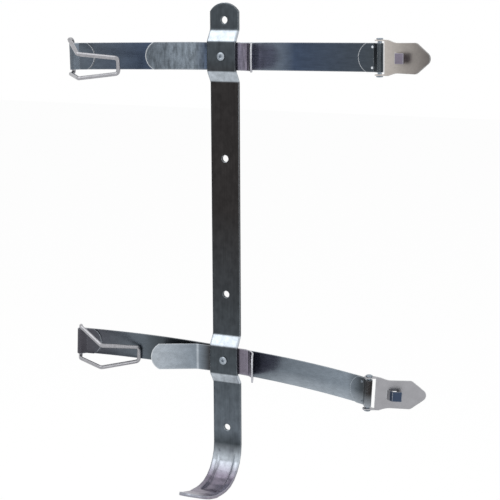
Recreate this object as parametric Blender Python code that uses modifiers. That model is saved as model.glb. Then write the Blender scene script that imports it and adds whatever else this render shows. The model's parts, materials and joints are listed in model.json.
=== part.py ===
"""Vehicle bracket for a small gas or extinguisher cylinder.

A joggled steel backbone with a foot carries two cradles and two steel bands.
Each band swivels on its rivet, holds a wire bail in one folded end and an
over-centre lever on a pin in the other. Metres, +Z up, the wall at +Y and the
cylinder at -Y. The origin is on the wall face, midway between the bands.
"""

import math

import bmesh
import bpy
from mathutils import Matrix, Vector

MM = 0.001
COLLECTION_NAME = "cylinder_bracket"
CUTTER_COLLECTION_NAME = "cutters"

# Clearances
FIT_GAP = 0.3 * MM
MERGE_DISTANCE = 0.00001

# Backbone strap
STRAP_WIDTH = 30.0 * MM
STRAP_THICKNESS = 3.0 * MM
BAND_SPACING = 304.0 * MM
TOP_TAB_LENGTH = 51.0 * MM
TOP_END_RADIUS = 17.5 * MM
BRIDGE_HALF_FLAT = 14.0 * MM
BRIDGE_HALF_SPAN = 25.0 * MM
JOGGLE_BEND_RADIUS = 5.0 * MM
SCREW_HOLE_DIAMETER = 7.0 * MM
TOP_SCREW_FROM_END = 16.5 * MM
UPPER_SCREW_BELOW_BAND = 100.0 * MM
LOWER_SCREW_ABOVE_BAND = 67.0 * MM
BOTTOM_SCREW_BELOW_BAND = 73.0 * MM

# Foot hook with its pressed channel
FOOT_DROP = 126.5 * MM
FOOT_BEND_RADIUS = 36.0 * MM
FOOT_REACH = 92.0 * MM
FOOT_RISE_START = 60.0 * MM
FOOT_TIP_RISE = 12.5 * MM
FOOT_RISE_RADIUS = 85.0 * MM
FOOT_END_RADIUS = 15.6 * MM
CHANNEL_HALF_WIDTH = 8.0 * MM
CHANNEL_FLANK = 2.5 * MM
CHANNEL_DEPTH = 2.2 * MM
CHANNEL_START_PAST_BEND = 4.0 * MM
CHANNEL_RUN = 66.0 * MM
CHANNEL_RAMP = 10.0 * MM

# Bands
BAND_HEIGHT = 26.5 * MM
BAND_THICKNESS = 1.2 * MM
BAND_END_RADIUS = 15.0 * MM
BAND_HALF_FLAT = 20.0 * MM
BAIL_SIDE_REACH = 158.0 * MM
LEVER_SIDE_REACH = 162.1 * MM
TAIL_LENGTH = 22.0 * MM
FOLD_LEAVE = 0.25
FOLD_SETTLE = 2.1
FOLD_LEAVE_BEND = 0.5
FOLD_SETTLE_BEND = 0.7
UPPER_BAIL_SIDE_BOW = 17.0 * MM
UPPER_LEVER_SIDE_BOW = 6.0 * MM
LOWER_BAIL_SIDE_BOW = 19.0 * MM
LOWER_LEVER_SIDE_BOW = 22.0 * MM
UPPER_BAND_TILT = -0.8
LOWER_BAND_TILT = 2.8
BOW_STEPS = 9

# Cradles
CRADLE_HEIGHT = 26.5 * MM
CRADLE_THICKNESS = 1.6 * MM
CRADLE_OPEN_FLAT = 31.8 * MM
CRADLE_OPEN_WING = 46.7 * MM
CRADLE_OPEN_ANGLE = 26.0
CRADLE_OPEN_BEND_RADIUS = 10.0 * MM
CRADLE_STEEP_FLAT = 31.1 * MM
CRADLE_STEEP_WING = 32.0 * MM
CRADLE_STEEP_ANGLE = 68.0
CRADLE_STEEP_BEND_RADIUS = 18.0 * MM
CRADLE_END_RADIUS = 15.0 * MM

# Rivets
RIVET_RADIUS = 2.4 * MM
RIVET_HEAD_RADIUS = 4.2 * MM
RIVET_HEAD_HEIGHT = 1.3 * MM
RIVET_BORE_RADIUS = 1.5 * MM
RIVET_BORE_DEPTH = 2.2 * MM
RIVET_TAIL_HEIGHT = 1.2 * MM

# Hinge pins
PIN_RADIUS = 2.0 * MM
PIN_HEAD_RADIUS = 3.2 * MM
PIN_HEAD_HEIGHT = 1.2 * MM

# Wire bails
WIRE_RADIUS = 2.0 * MM
BAIL_BASE_WIDTH = 34.0 * MM
BAIL_KNEE_WIDTH = 23.5 * MM
BAIL_END_WIDTH = 15.0 * MM
BAIL_DROOP = 8.0 * MM
BAIL_SHOULDER_ALONG = 2.0 * MM
BAIL_SHOULDER_STAND = 6.8 * MM
BAIL_KNEE_ALONG = 28.3 * MM
BAIL_KNEE_STAND = 23.4 * MM
BAIL_LENGTH = 63.4 * MM
BAIL_END_STAND = 4.2 * MM
BAIL_CORNER_RADIUS = 3.4 * MM

# Levers
LEVER_THICKNESS = 1.2 * MM
LEVER_LENGTH = 55.5 * MM
LEVER_STAND = 1.5 * MM
LEVER_HINGE_EDGE = 6.3 * MM
LEVER_HINGE_WIDTH = 32.5 * MM
LEVER_BODY_WIDTH = 28.0 * MM
LEVER_NECK_LENGTH = 9.0 * MM
LEVER_SHOULDER_LENGTH = 15.0 * MM
LEVER_TIP_RADIUS = 6.0 * MM
EAR_RADIUS = 4.6 * MM
EAR_FOOT_LENGTH = 5.0 * MM
UPPER_BAIL_SWING = -25.7
LOWER_BAIL_SWING = 0.0
UPPER_LEVER_SWING = -15.0
LOWER_LEVER_SWING = 24.4
TAB_START = 18.0 * MM
TAB_RAMP_LENGTH = 4.5 * MM
TAB_LENGTH = 13.0 * MM
TAB_WIDTH = 9.5 * MM
TAB_STAND = 6.8 * MM
WINDOW_SIDE_COVER = 1.2 * MM
WINDOW_END_COVER = 4.5 * MM

# Fineness of round forms
ARC_STEP_DEGREES = 15.0
ROUND_SIDES = 24
SMOOTH_ANGLE = 35.0

# Places that follow from the sizes above
WALL_FACE_Y = 0.0
STRAP_MID_Y = WALL_FACE_Y - STRAP_THICKNESS / 2
UPPER_Z = BAND_SPACING / 2
LOWER_Z = -BAND_SPACING / 2
TAIL_FACE_Y = STRAP_MID_Y - STRAP_THICKNESS / 2 + FIT_GAP
BAND_MID_Y = TAIL_FACE_Y - RIVET_TAIL_HEIGHT - FIT_GAP - BAND_THICKNESS / 2
CRADLE_MID_Y = BAND_MID_Y - BAND_THICKNESS / 2 - FIT_GAP - CRADLE_THICKNESS / 2
BRIDGE_BACK_Y = CRADLE_MID_Y - CRADLE_THICKNESS / 2 - FIT_GAP
BRIDGE_MID_Y = BRIDGE_BACK_Y - STRAP_THICKNESS / 2
BRIDGE_FRONT_Y = BRIDGE_BACK_Y - STRAP_THICKNESS
RIVET_HOLE_RADIUS = RIVET_RADIUS + FIT_GAP
BAIL_LOOP_RADIUS = WIRE_RADIUS + FIT_GAP + BAND_THICKNESS / 2
PIN_LOOP_RADIUS = PIN_RADIUS + FIT_GAP + BAND_THICKNESS / 2
TAIL_OFFSET = BAND_THICKNESS + FIT_GAP


def clear_scene():
    """Empty the scene of its objects."""
    for item in list(bpy.data.objects):
        bpy.data.objects.remove(item, do_unlink=True)


def new_collection(name):
    """Make a collection under the scene and return it."""
    collection = bpy.data.collections.new(name)
    bpy.context.scene.collection.children.link(collection)
    return collection


def metal(name, colour, roughness):
    """Make a plain metal material."""
    material = bpy.data.materials.new(name)
    material.use_nodes = True
    shader = material.node_tree.nodes["Principled BSDF"]
    shader.inputs["Base Color"].default_value = (*colour, 1.0)
    shader.inputs["Metallic"].default_value = 1.0
    shader.inputs["Roughness"].default_value = roughness
    return material


def zinc_plate(name):
    """Dark blue-grey zinc plated steel."""
    return metal(name, (0.10, 0.12, 0.15), 0.38)


def bright_wire(name):
    """Bright zinc plated wire."""
    return metal(name, (0.55, 0.57, 0.60), 0.28)


def satin_steel(name):
    """Satin stainless sheet."""
    return metal(name, (0.42, 0.41, 0.39), 0.34)


def rounded_path(corners, radii):
    """Join 2D corners by straight runs and arcs, one radius for each inner corner."""
    points = [Vector(corners[0])]
    for index, radius in enumerate(radii, start=1):
        before = Vector(corners[index - 1])
        corner = Vector(corners[index])
        after = Vector(corners[index + 1])
        inward = (before - corner).normalized()
        outward = (after - corner).normalized()
        turn = math.pi - inward.angle(outward)
        reach = radius * math.tan(turn / 2)
        centre = corner + (inward + outward).normalized() * (radius / math.cos(turn / 2))
        start = corner + inward * reach - centre
        side = math.copysign(1.0, inward.cross(outward))
        steps = max(2, math.ceil(math.degrees(turn) / ARC_STEP_DEGREES))
        for step in range(steps + 1):
            swing = -side * turn * step / steps
            points.append(centre + Matrix.Rotation(swing, 2) @ start)
    points.append(Vector(corners[-1]))
    return points


def path_lengths(points):
    """Running length at each point of a path."""
    lengths = [0.0]
    for before, after in zip(points, points[1:]):
        lengths.append(lengths[-1] + (after - before).length)
    return lengths


def path_at(points, lengths, distance):
    """Point and tangent of a path at a distance along it."""
    last = len(points) - 2
    index = next((i for i in range(last) if lengths[i + 1] > distance), last)
    run = points[index + 1] - points[index]
    share = (distance - lengths[index]) / run.length
    return points[index] + run * share, run.normalized()


def round_end_rows(radius, half_width):
    """Distances from a round end at which a strip gets a row."""
    steps = 7
    depth = radius - math.sqrt(max(radius ** 2 - half_width ** 2, 0.0))
    sweep = math.acos(1.0 - depth / radius)
    return [radius * (1.0 - math.cos(sweep * step / steps)) for step in range(1, steps + 1)]


def round_end_half_width(distance, radius, half_width):
    """Half width of a strip at a distance from its round end."""
    if distance >= radius:
        return half_width
    return min(half_width, math.sqrt(max(radius ** 2 - (radius - distance) ** 2, 0.0)))


def strip_rows(points, lengths, end_radii, half_width):
    """Distances along a path where a strip needs a row of vertices."""
    total = lengths[-1]
    rows = set(lengths)
    first, last = end_radii
    if first:
        rows.update(round_end_rows(first, half_width))
    if last:
        rows.update(total - row for row in round_end_rows(last, half_width))
    ordered = []
    for row in sorted(rows):
        if not ordered or row - ordered[-1] > 0.05 * MM:
            ordered.append(row)
    ordered[-1] = total
    return ordered


def strip(name, points, width, thickness, columns, place, end_radii=(0.0, 0.0), press=None):
    """Bend a flat strip along a 2D path, with round ends and an optional pressed form."""
    half_width = width / 2
    tip_half = 0.8 * MM
    lengths = path_lengths(points)
    rows = strip_rows(points, lengths, end_radii, half_width)
    sheet = bmesh.new()
    bmesh.ops.create_grid(sheet, x_segments=len(columns) - 1, y_segments=len(rows) - 1, size=0.5)
    for vertex in sheet.verts:
        column = round((vertex.co.x + 0.5) * (len(columns) - 1))
        row = rows[round((vertex.co.y + 0.5) * (len(rows) - 1))]
        centre, tangent = path_at(points, lengths, row)
        half = half_width
        if end_radii[0]:
            half = min(half, round_end_half_width(row, end_radii[0], half_width))
        if end_radii[1]:
            half = min(half, round_end_half_width(lengths[-1] - row, end_radii[1], half_width))
        across = columns[column] / half_width * max(half, tip_half)
        normal = Vector((-tangent.y, tangent.x))
        depth = press(row, across) if press else 0.0
        spot = centre + normal * depth
        vertex.co = place(spot.x, spot.y, across)
    bmesh.ops.recalc_face_normals(sheet, faces=sheet.faces)
    strip_object = finish_mesh(name, sheet)
    wall = strip_object.modifiers.new("wall", "SOLIDIFY")
    wall.thickness = thickness
    wall.offset = 0.0
    wall.use_even_offset = True
    return strip_object


def finish_mesh(name, sheet):
    """Turn a bmesh into an object in the parts collection."""
    mesh = bpy.data.meshes.new(name)
    sheet.to_mesh(mesh)
    sheet.free()
    item = bpy.data.objects.new(name, mesh)
    bpy.data.collections[COLLECTION_NAME].objects.link(item)
    return item


def made_mesh(item, name):
    """Replace an object by a plain mesh of its evaluated shape, placed alike."""
    bpy.context.view_layer.update()
    graph = bpy.context.evaluated_depsgraph_get()
    mesh = bpy.data.meshes.new_from_object(item.evaluated_get(graph))
    place = item.matrix_world.copy()
    bpy.data.objects.remove(item, do_unlink=True)
    sheet = bmesh.new()
    sheet.from_mesh(mesh)
    bmesh.ops.remove_doubles(sheet, verts=sheet.verts, dist=MERGE_DISTANCE)
    sheet.to_mesh(mesh)
    sheet.free()
    mesh.name = name
    made = bpy.data.objects.new(name, mesh)
    made.matrix_world = place
    bpy.data.collections[COLLECTION_NAME].objects.link(made)
    return made


def plate(name, outline, thickness, place):
    """Cut a flat plate to a closed 2D outline and set it in place."""
    curve = bpy.data.curves.new(name, "CURVE")
    curve.dimensions = "2D"
    curve.fill_mode = "BOTH"
    curve.extrude = thickness / 2
    spline = curve.splines.new("POLY")
    spline.points.add(len(outline) - 1)
    for point, corner in zip(spline.points, outline):
        point.co = (corner[0], corner[1], 0.0, 1.0)
    spline.use_cyclic_u = True
    item = bpy.data.objects.new(name, curve)
    bpy.data.collections[COLLECTION_NAME].objects.link(item)
    item.matrix_world = place
    return made_mesh(item, name)


def as_cutter(item):
    """Move an object to the cutters and hide it from renders."""
    bpy.data.collections[COLLECTION_NAME].objects.unlink(item)
    bpy.data.collections[CUTTER_COLLECTION_NAME].objects.link(item)
    item.display_type = "WIRE"
    item.hide_render = True
    return item


def rod(name, radius, length, centre, axis, sides):
    """A plain cylinder about a point, along an axis."""
    sheet = bmesh.new()
    bmesh.ops.create_cone(
        sheet, cap_ends=True, segments=sides, radius1=radius, radius2=radius, depth=length
    )
    turn = Vector((0.0, 0.0, 1.0)).rotation_difference(Vector(axis)).to_matrix().to_4x4()
    bmesh.ops.transform(sheet, matrix=Matrix.Translation(centre) @ turn, verts=sheet.verts)
    return finish_mesh(name, sheet)


def combine(item, other, operation):
    """Add a Boolean of another object, which becomes a cutter that moves with the item."""
    bpy.context.view_layer.update()
    other.parent = item
    other.matrix_parent_inverse = item.matrix_world.inverted()
    modifier = item.modifiers.new(operation.lower(), "BOOLEAN")
    modifier.operation = operation
    modifier.solver = "EXACT"
    modifier.object = as_cutter(other)


def turned(name, profile, sides):
    """Turn a profile, from top to bottom at +X, about the Z axis."""
    sheet = bmesh.new()
    vertices = [sheet.verts.new((radius, 0.0, height)) for radius, height in profile]
    for before, after in zip(vertices, vertices[1:]):
        sheet.edges.new((before, after))
    item = finish_mesh(name, sheet)
    lathe = item.modifiers.new("lathe", "SCREW")
    lathe.axis = "Z"
    lathe.steps = sides
    lathe.render_steps = sides
    lathe.use_merge_vertices = True
    lathe.merge_threshold = MERGE_DISTANCE
    lathe.use_smooth_shade = True
    return item


def dress(item, material):
    """Give an object its material and its smooth round faces."""
    item.data.materials.clear()
    item.data.materials.append(material)
    item.data.shade_smooth()
    if item.type == "MESH":
        item.data.set_sharp_from_angle(angle=math.radians(SMOOTH_ANGLE))


def strap_corners():
    """Corners and bend radii of the backbone's side profile, top to foot tip, as (y, z)."""
    corners = [(STRAP_MID_Y, UPPER_Z + TOP_TAB_LENGTH)]
    radii = []
    for centre in (UPPER_Z, LOWER_Z):
        corners.append((STRAP_MID_Y, centre + BRIDGE_HALF_SPAN))
        corners.append((BRIDGE_MID_Y, centre + BRIDGE_HALF_FLAT))
        corners.append((BRIDGE_MID_Y, centre - BRIDGE_HALF_FLAT))
        corners.append((STRAP_MID_Y, centre - BRIDGE_HALF_SPAN))
        radii.extend([JOGGLE_BEND_RADIUS] * 4)
    floor_z = LOWER_Z - FOOT_DROP
    corners.append((STRAP_MID_Y, floor_z))
    corners.append((-FOOT_RISE_START, floor_z))
    corners.append((-FOOT_REACH, floor_z + FOOT_TIP_RISE))
    radii.extend([FOOT_BEND_RADIUS, FOOT_RISE_RADIUS])
    return corners, radii


def channel_press(start):
    """Depth of the foot's pressed channel at a distance along and across the strap."""

    def depth(along, across):
        into = along - start
        ramp = min(into, CHANNEL_RUN - into) / CHANNEL_RAMP
        ramp = min(max(ramp, 0.0), 1.0)
        flank = (CHANNEL_HALF_WIDTH + CHANNEL_FLANK - abs(across)) / CHANNEL_FLANK
        flank = min(max(flank, 0.0), 1.0)
        return CHANNEL_DEPTH * ramp * flank

    return depth


def densify(points, start, stop, spacing):
    """Add points to the straight runs of a path between two distances."""
    lengths = path_lengths(points)
    dense = [points[0]]
    for index in range(len(points) - 1):
        low = lengths[index]
        high = lengths[index + 1]
        if high > start and low < stop:
            extra = int((high - low) / spacing)
            for step in range(1, extra + 1):
                dense.append(points[index].lerp(points[index + 1], step / (extra + 1)))
        dense.append(points[index + 1])
    return dense


def build_backbone(material):
    """The backbone strap, with bridges, screw holes and the channelled foot."""
    corners, radii = strap_corners()
    points = rounded_path(corners, radii)
    lengths = path_lengths(points)
    bend_start_z = LOWER_Z - FOOT_DROP + FOOT_BEND_RADIUS
    bend_row = next(
        length for point, length in zip(points, lengths) if point.y < bend_start_z + MERGE_DISTANCE
    )
    channel_start = bend_row + CHANNEL_START_PAST_BEND
    points = densify(points, channel_start, channel_start + CHANNEL_RUN, 3.0 * MM)
    inner = CHANNEL_HALF_WIDTH
    outer = CHANNEL_HALF_WIDTH + CHANNEL_FLANK
    edge = STRAP_WIDTH / 2
    columns = [-edge, -outer, -inner, 0.0, inner, outer, edge]
    item = strip(
        "backbone_strap",
        points,
        STRAP_WIDTH,
        STRAP_THICKNESS,
        columns,
        lambda y, z, x: Vector((x, y, z)),
        (TOP_END_RADIUS, FOOT_END_RADIUS),
        channel_press(channel_start),
    )
    screw_heights = (
        UPPER_Z + TOP_TAB_LENGTH - TOP_SCREW_FROM_END,
        UPPER_Z - UPPER_SCREW_BELOW_BAND,
        LOWER_Z + LOWER_SCREW_ABOVE_BAND,
        LOWER_Z - BOTTOM_SCREW_BELOW_BAND,
    )
    for number, height in enumerate(screw_heights, start=1):
        spot = (0.0, STRAP_MID_Y, height)
        cutter = rod(
            f"screw_cutter_{number}", SCREW_HOLE_DIAMETER / 2, STRAP_THICKNESS * 3, spot,
            (0.0, 1.0, 0.0), ROUND_SIDES,
        )
        combine(item, cutter, "DIFFERENCE")
    for number, height in enumerate((UPPER_Z, LOWER_Z), start=1):
        cut_rivet_hole(item, f"bridge_cutter_{number}", BRIDGE_MID_Y, STRAP_THICKNESS, height)
    dress(item, material)
    return item


def cut_rivet_hole(item, name, middle_y, thickness, height):
    """Cut a rivet hole through a sheet that faces the wall."""
    cutter = rod(
        name, RIVET_HOLE_RADIUS, thickness * 3, (0.0, middle_y, height),
        (0.0, 1.0, 0.0), ROUND_SIDES,
    )
    combine(item, cutter, "DIFFERENCE")


def build_cradle(name, height, material):
    """A cradle: a flat middle under the bridge, an open wing and a steep wing."""
    open_turn = math.radians(CRADLE_OPEN_ANGLE)
    steep_turn = math.radians(CRADLE_STEEP_ANGLE)
    corners = [
        (
            -CRADLE_OPEN_FLAT - CRADLE_OPEN_WING * math.cos(open_turn),
            CRADLE_MID_Y - CRADLE_OPEN_WING * math.sin(open_turn),
        ),
        (-CRADLE_OPEN_FLAT, CRADLE_MID_Y),
        (CRADLE_STEEP_FLAT, CRADLE_MID_Y),
        (
            CRADLE_STEEP_FLAT + CRADLE_STEEP_WING * math.cos(steep_turn),
            CRADLE_MID_Y - CRADLE_STEEP_WING * math.sin(steep_turn),
        ),
    ]
    points = rounded_path(corners, [CRADLE_OPEN_BEND_RADIUS, CRADLE_STEEP_BEND_RADIUS])
    edge = CRADLE_HEIGHT / 2
    item = strip(
        name,
        points,
        CRADLE_HEIGHT,
        CRADLE_THICKNESS,
        [-edge, 0.0, edge],
        lambda x, y, z: Vector((x, y, height + z)),
        (CRADLE_END_RADIUS, CRADLE_END_RADIUS),
    )
    cut_rivet_hole(item, f"{name}_cutter", CRADLE_MID_Y, CRADLE_THICKNESS, height)
    dress(item, material)
    return item


def build_rivet(name, height, material):
    """A tubular rivet through bridge, cradle and band, its set head in the pocket."""
    head_y = BRIDGE_FRONT_Y - FIT_GAP
    front = -(head_y - RIVET_HEAD_HEIGHT)
    tail_y = BAND_MID_Y + BAND_THICKNESS / 2 + FIT_GAP
    profile = [
        (0.0, front - RIVET_BORE_DEPTH),
        (RIVET_BORE_RADIUS, front - RIVET_BORE_DEPTH),
        (RIVET_BORE_RADIUS, front - 0.2 * MM),
        (RIVET_BORE_RADIUS + 0.5 * MM, front),
        (RIVET_HEAD_RADIUS * 0.72, front - 0.1 * MM),
        (RIVET_HEAD_RADIUS * 0.94, front - 0.5 * MM),
        (RIVET_HEAD_RADIUS, -head_y + 0.2 * MM),
        (RIVET_HEAD_RADIUS, -head_y),
        (RIVET_RADIUS, -head_y),
        (RIVET_RADIUS, -tail_y),
        (RIVET_HEAD_RADIUS, -tail_y),
        (RIVET_HEAD_RADIUS * 0.8, -(tail_y + RIVET_TAIL_HEIGHT - FIT_GAP)),
        (0.0, -(tail_y + RIVET_TAIL_HEIGHT - FIT_GAP)),
    ]
    item = turned(name, profile, ROUND_SIDES)
    item.rotation_euler = (math.radians(90.0), 0.0, 0.0)
    item.location = (0.0, 0.0, height)
    dress(item, material)
    return item


def bowed_run(reach, bow):
    """Points from the middle of a band out to a reach, bowed towards the cylinder."""
    points = [Vector((BAND_HALF_FLAT, 0.0))]
    for step in range(1, BOW_STEPS + 1):
        share = step / BOW_STEPS
        x = BAND_HALF_FLAT + (reach - BAND_HALF_FLAT) * share
        points.append(Vector((x, -bow * share**2)))
    return points


def end_slope(reach, bow):
    """Slope of a bowed band where its fold begins."""
    return -2.0 * bow / (reach - BAND_HALF_FLAT)


def fold(reach, bow, loop_radius):
    """Corners of a band's folded end, round the loop and back along its front."""
    slope = end_slope(reach, bow)
    along = Vector((1.0, slope)).normalized()
    front = Vector((along.y, -along.x))
    middle = Vector((reach, -bow)) + front * loop_radius
    outer = middle + along * loop_radius
    leave = middle + front * loop_radius - along * loop_radius * FOLD_LEAVE
    settle_back = loop_radius * FOLD_SETTLE
    settle = middle - front * (loop_radius - TAIL_OFFSET) - along * settle_back
    bend = slope * TAIL_LENGTH / (reach - BAND_HALF_FLAT) / 2
    end = settle - (along + front * bend) * (TAIL_LENGTH - settle_back)
    corners = [
        Vector((reach, -bow)) - along * loop_radius,
        outer - front * loop_radius,
        outer + front * loop_radius,
        leave,
        settle,
        end,
    ]
    radii = [
        loop_radius,
        loop_radius,
        loop_radius * FOLD_LEAVE_BEND,
        loop_radius * FOLD_SETTLE_BEND,
    ]
    return corners, radii, middle


def mirrored(points):
    """Swap a path's left and right."""
    return [Vector((-point.x, point.y)) for point in points]


def build_band(name, bail_bow, lever_bow, material):
    """A band in its own frame, about its rivet, with both ends folded."""
    left_corners, left_radii, _ = fold(BAIL_SIDE_REACH, bail_bow, BAIL_LOOP_RADIUS)
    right_corners, right_radii, _ = fold(LEVER_SIDE_REACH, lever_bow, PIN_LOOP_RADIUS)
    left = rounded_path(left_corners, left_radii)
    right = rounded_path(right_corners, right_radii)
    left_run = bowed_run(BAIL_SIDE_REACH, bail_bow)[:-1]
    right_run = bowed_run(LEVER_SIDE_REACH, lever_bow)[:-1]
    half = mirrored(left_run + left)
    points = half[::-1] + [Vector((0.0, 0.0))] + right_run + right
    edge = BAND_HEIGHT / 2
    item = strip(
        name,
        points,
        BAND_HEIGHT,
        BAND_THICKNESS,
        [-edge, 0.0, edge],
        lambda x, y, z: Vector((x, y, z)),
        (BAND_END_RADIUS, BAND_END_RADIUS),
    )
    cut_rivet_hole(item, f"{name}_cutter", 0.0, BAND_THICKNESS, 0.0)
    dress(item, material)
    return item


def build_bail(name, material):
    """A closed wire bail about its base, which lies along Z at the origin."""
    knee_x = BAIL_KNEE_ALONG
    knee_y = -BAIL_KNEE_STAND
    end_y = -BAIL_END_STAND
    base = BAIL_BASE_WIDTH / 2
    knee = BAIL_KNEE_WIDTH / 2
    end = BAIL_END_WIDTH / 2
    corners = [
        Vector((0.0, 0.0, -base)),
        Vector((0.0, 0.0, base)),
        Vector((BAIL_SHOULDER_ALONG, -BAIL_SHOULDER_STAND, base)),
        Vector((knee_x, knee_y, knee - BAIL_DROOP)),
        Vector((BAIL_LENGTH, end_y, end - BAIL_DROOP)),
        Vector((BAIL_LENGTH, end_y, -end - BAIL_DROOP)),
        Vector((knee_x, knee_y, -knee - BAIL_DROOP)),
        Vector((BAIL_SHOULDER_ALONG, -BAIL_SHOULDER_STAND, -base)),
    ]
    points = []
    for index, corner in enumerate(corners):
        inward = (corners[index - 1] - corner).normalized()
        outward = (corners[(index + 1) % len(corners)] - corner).normalized()
        points.extend(corner_arc(corner, inward, outward))
    curve = bpy.data.curves.new(name, "CURVE")
    curve.dimensions = "3D"
    curve.bevel_depth = WIRE_RADIUS
    curve.bevel_resolution = 3
    spline = curve.splines.new("POLY")
    spline.points.add(len(points) - 1)
    for point, place in zip(spline.points, points):
        point.co = (*place, 1.0)
    spline.use_cyclic_u = True
    item = bpy.data.objects.new(name, curve)
    bpy.data.collections[COLLECTION_NAME].objects.link(item)
    item = made_mesh(item, name)
    dress(item, material)
    return item


def corner_arc(corner, inward, outward):
    """Points of the arc that rounds one corner of a bent wire."""
    turn = math.pi - inward.angle(outward)
    reach = BAIL_CORNER_RADIUS * math.tan(turn / 2)
    middle = (inward + outward).normalized()
    centre = corner + middle * (BAIL_CORNER_RADIUS / math.cos(turn / 2))
    start = corner + inward * reach - centre
    end = corner + outward * reach - centre
    axis = start.cross(end).normalized()
    steps = max(2, math.ceil(math.degrees(turn) / ARC_STEP_DEGREES))
    arc = []
    for step in range(steps + 1):
        arc.append(centre + Matrix.Rotation(turn * step / steps, 3, axis) @ start)
    return arc


def build_pin(name, material):
    """A headed hinge pin about its middle, along Z."""
    shank = LEVER_HINGE_WIDTH / 2 + FIT_GAP
    top = shank + PIN_HEAD_HEIGHT
    profile = [
        (0.0, top),
        (PIN_HEAD_RADIUS * 0.8, top),
        (PIN_HEAD_RADIUS, top - 0.35 * MM),
        (PIN_HEAD_RADIUS, shank),
        (PIN_RADIUS, shank),
        (PIN_RADIUS, -shank),
        (PIN_HEAD_RADIUS, -shank),
        (PIN_HEAD_RADIUS, -top + 0.35 * MM),
        (PIN_HEAD_RADIUS * 0.8, -top),
        (0.0, -top),
    ]
    item = turned(name, profile, ROUND_SIDES)
    dress(item, material)
    return item


def lever_outline():
    """Outline of the lever plate as (along, across), counter-clockwise."""
    hinge = LEVER_HINGE_WIDTH / 2
    body = LEVER_BODY_WIDTH / 2
    shoulder = LEVER_LENGTH - LEVER_SHOULDER_LENGTH
    neck = LEVER_HINGE_EDGE + LEVER_NECK_LENGTH
    nose = (LEVER_LENGTH + LEVER_TIP_RADIUS * 0.5, 0.0)
    side = [
        (LEVER_HINGE_EDGE, -hinge),
        (LEVER_HINGE_EDGE + EAR_FOOT_LENGTH * 0.8, -hinge),
        (neck + LEVER_NECK_LENGTH * 0.3, -body * 0.97),
        (shoulder, -body),
        nose,
    ]
    lower = rounded_path(side, [8.0 * MM, 16.0 * MM, 5.0 * MM])[:-1]
    upper = [Vector((point.x, -point.y)) for point in reversed(lower)]
    tip = round_tip(lower[-1], nose)
    return lower + tip + upper


def round_tip(shoulder, nose):
    """Arc that rounds the lever's pointed tip, between its two straight flanks."""
    flank = Vector((shoulder.x - nose[0], shoulder.y)).normalized()
    half = math.acos(-flank.x)
    centre_x = nose[0] - LEVER_TIP_RADIUS / math.sin(half)
    sweep = math.pi / 2 - half
    steps = 8
    arc = []
    for step in range(steps + 1):
        angle = -sweep + 2 * sweep * step / steps
        x = centre_x + LEVER_TIP_RADIUS * math.cos(angle)
        arc.append(Vector((x, LEVER_TIP_RADIUS * math.sin(angle))))
    return arc


def ear_outline():
    """Outline of a lever ear as (along, out of the plate), about the pin."""
    foot_y = -LEVER_STAND - LEVER_THICKNESS / 2
    foot_start = LEVER_HINGE_EDGE
    foot_end = LEVER_HINGE_EDGE + EAR_FOOT_LENGTH
    outline = [Vector((foot_start, foot_y)), Vector((foot_end, foot_y))]
    steps = 12
    first = math.radians(40.0)
    last = math.radians(230.0)
    for step in range(steps + 1):
        angle = first + (last - first) * step / steps
        outline.append(Vector((math.cos(angle), math.sin(angle))) * EAR_RADIUS)
    return outline


def tab_outline():
    """Side outline of the lanced hook tab as (along, out of the plate)."""
    inner = -LEVER_STAND + LEVER_THICKNESS * 0.4
    ramp = TAB_START + TAB_RAMP_LENGTH
    crest = -LEVER_STAND - TAB_STAND
    half = LEVER_THICKNESS / 2
    return [
        Vector((TAB_START - half, inner)),
        Vector((TAB_START - half, -LEVER_STAND - half)),
        Vector((ramp - half, crest - half)),
        Vector((TAB_START + TAB_LENGTH, crest - half)),
        Vector((TAB_START + TAB_LENGTH, crest + half)),
        Vector((ramp + half, crest + half)),
        Vector((TAB_START + half, -LEVER_STAND - half)),
        Vector((TAB_START + half, inner)),
    ]


def build_lever(name, material):
    """A pressed lever about its pin: plate, two bent ears and a lanced hook tab."""
    standing = Matrix.Rotation(math.radians(90.0), 4, "X")
    item = plate(
        name, lever_outline(), LEVER_THICKNESS, Matrix.Translation((0.0, -LEVER_STAND, 0.0)) @ standing
    )
    window_start = TAB_START + LEVER_THICKNESS / 2
    window_end = TAB_START + TAB_LENGTH - WINDOW_END_COVER
    half = TAB_WIDTH / 2 - WINDOW_SIDE_COVER
    window = [(window_start, -half), (window_end, -half), (window_end, half), (window_start, half)]
    window_place = Matrix.Translation((0.0, -LEVER_STAND, 0.0)) @ standing
    combine(item, plate(f"{name}_window", window, LEVER_THICKNESS * 3, window_place), "DIFFERENCE")
    combine(item, plate(f"{name}_tab", tab_outline(), TAB_WIDTH, Matrix()), "UNION")
    ear_height = LEVER_HINGE_WIDTH / 2 - LEVER_THICKNESS / 2
    for side, label in ((1.0, "upper"), (-1.0, "lower")):
        place = Matrix.Translation((0.0, 0.0, side * ear_height))
        combine(item, plate(f"{name}_{label}_ear", ear_outline(), LEVER_THICKNESS, place), "UNION")
    bore = rod(
        f"{name}_bore", PIN_RADIUS + FIT_GAP, LEVER_HINGE_WIDTH * 2, (0.0, 0.0, 0.0),
        (0.0, 0.0, 1.0), ROUND_SIDES,
    )
    combine(item, bore, "DIFFERENCE")
    dress(item, material)
    return item


def guide(name, place, parent=None):
    """An empty on a joint's axis."""
    item = bpy.data.objects.new(name, None)
    bpy.data.collections[COLLECTION_NAME].objects.link(item)
    item.parent = parent
    item.matrix_local = place
    return item


def hang(item, parent):
    """Carry an object by an empty, in the empty's frame."""
    item.parent = parent


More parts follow.
